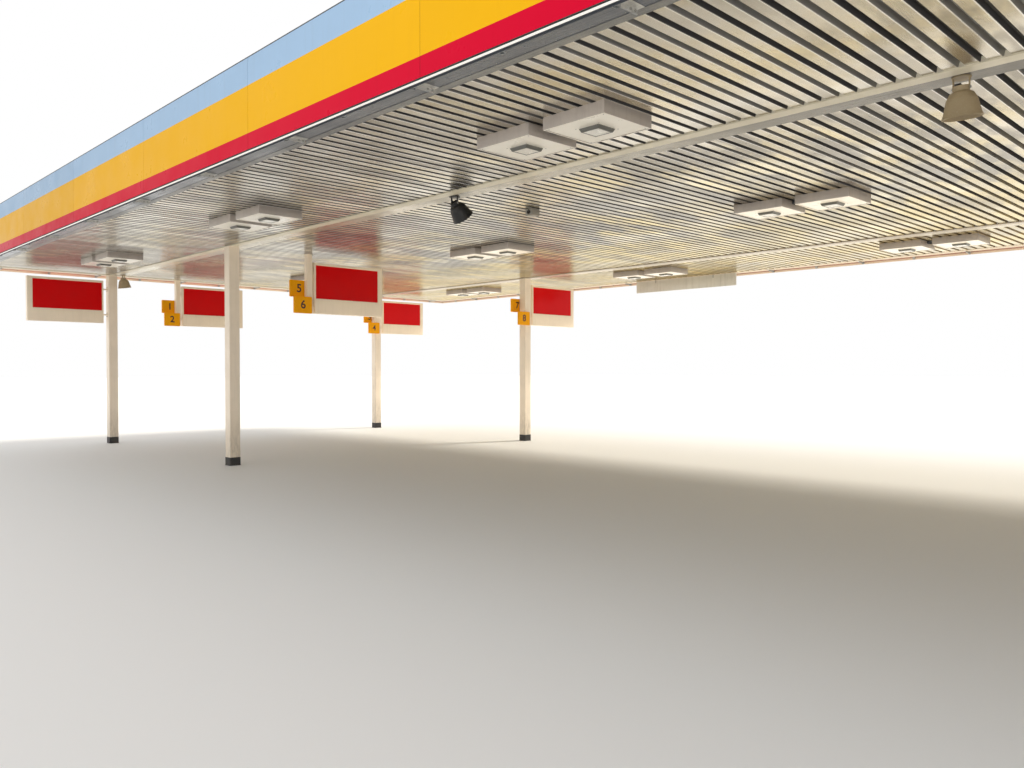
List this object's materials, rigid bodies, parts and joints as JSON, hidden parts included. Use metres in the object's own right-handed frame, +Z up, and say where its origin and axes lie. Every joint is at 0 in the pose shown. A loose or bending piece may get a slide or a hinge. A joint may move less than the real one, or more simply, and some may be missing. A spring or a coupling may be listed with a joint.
{
  "type": "filling station canopy",
  "caption": "Long flat forecourt canopy on square steel columns, with a ribbed metal soffit, a striped panel fascia, box lights and hanging signs.",
  "frame": {"origin": "on the ground, at the middle of the canopy's plan", "axes": "+X along the canopy's length, +Y from the front fascia to the rear one, +Z up"},
  "size_m": [31.88, 13.36, 4.922],
  "materials": {
    "column_paint": "satin white paint",
    "foot_black": "matt black paint",
    "beam_cream": "satin cream paint",
    "channel_paint": "satin grey paint",
    "galvanised": "hot-dip galvanised, spangled",
    "deck_metal": "zinc-aluminium coated sheet, semi-bright",
    "flashing_metal": "zinc-aluminium coated sheet, dull",
    "fascia_white": "gloss white panel",
    "fascia_yellow": "gloss yellow panel",
    "fascia_red": "gloss red panel",
    "cap_grey": "satin dark grey flashing",
    "lip_white": "satin white trim",
    "light_housing": "powder-coated off-white",
    "lamp_lens": "frosted diffuser",
    "sign_white": "powder-coated white",
    "sign_red": "gloss acrylic, plain red",
    "plate_orange": "gloss orange with plain numbers",
    "lamp_beige": "weathered beige",
    "lamp_black": "matt black",
    "shadow_black": "matt black strip",
    "sensor_grey": "grey-beige casing",
    "board_white": "plain off-white sheet"
  },
  "bodies": {
    "root": {"column_front_1": "column_paint", "column_front_2": "column_paint", "column_front_3": "column_paint", "column_front_4": "column_paint", "column_rear_1": "column_paint", "column_rear_2": "column_paint", "column_rear_3": "column_paint", "column_rear_4": "column_paint", "column_foot_bands": "foot_black", "main_beam_front": "beam_cream", "main_beam_rear": "beam_cream", "end_beam_left": "beam_cream", "end_beam_right": "beam_cream", "edge_channel_front": "channel_paint", "edge_channel_rear": "channel_paint", "rafters_front": "galvanised", "rafters_middle": "galvanised", "rafters_rear": "galvanised", "purlins": "galvanised", "deck_front": "deck_metal", "deck_middle": "deck_metal", "deck_rear": "deck_metal", "gutter_front": "flashing_metal", "gutter_rear": "flashing_metal", "flashing_front": "flashing_metal", "flashing_rear": "flashing_metal", "flashing_left": "flashing_metal", "flashing_right": "flashing_metal", "fascia_frames_front": "galvanised", "fascia_frames_rear": "galvanised", "fascia_frames_left": "galvanised", "fascia_frames_right": "galvanised", "fascia_white_front": "fascia_white", "fascia_white_rear": "fascia_white", "fascia_white_left": "fascia_white", "fascia_white_right": "fascia_white", "fascia_yellow_front": "fascia_yellow", "fascia_yellow_rear": "fascia_yellow", "fascia_yellow_left": "fascia_yellow", "fascia_yellow_right": "fascia_yellow", "fascia_red_front": "fascia_red", "fascia_red_rear": "fascia_red", "fascia_red_left": "fascia_red", "fascia_red_right": "fascia_red", "fascia_cap": "cap_grey", "fascia_shadow_strip": "shadow_black", "fascia_lip": "lip_white", "lights_front": "light_housing", "lights_middle": "light_housing", "lights_rear": "light_housing", "lamp_units": "lamp_lens", "sign_hangers": "sign_white", "sign_boxes": "sign_white", "sign_faces": "sign_red", "number_plates": "plate_orange", "bell_lamps": "lamp_beige", "bell_lamp_black": "lamp_black", "sensor_box": "sensor_grey", "rear_board": "board_white"}
  },
  "joints": []
}
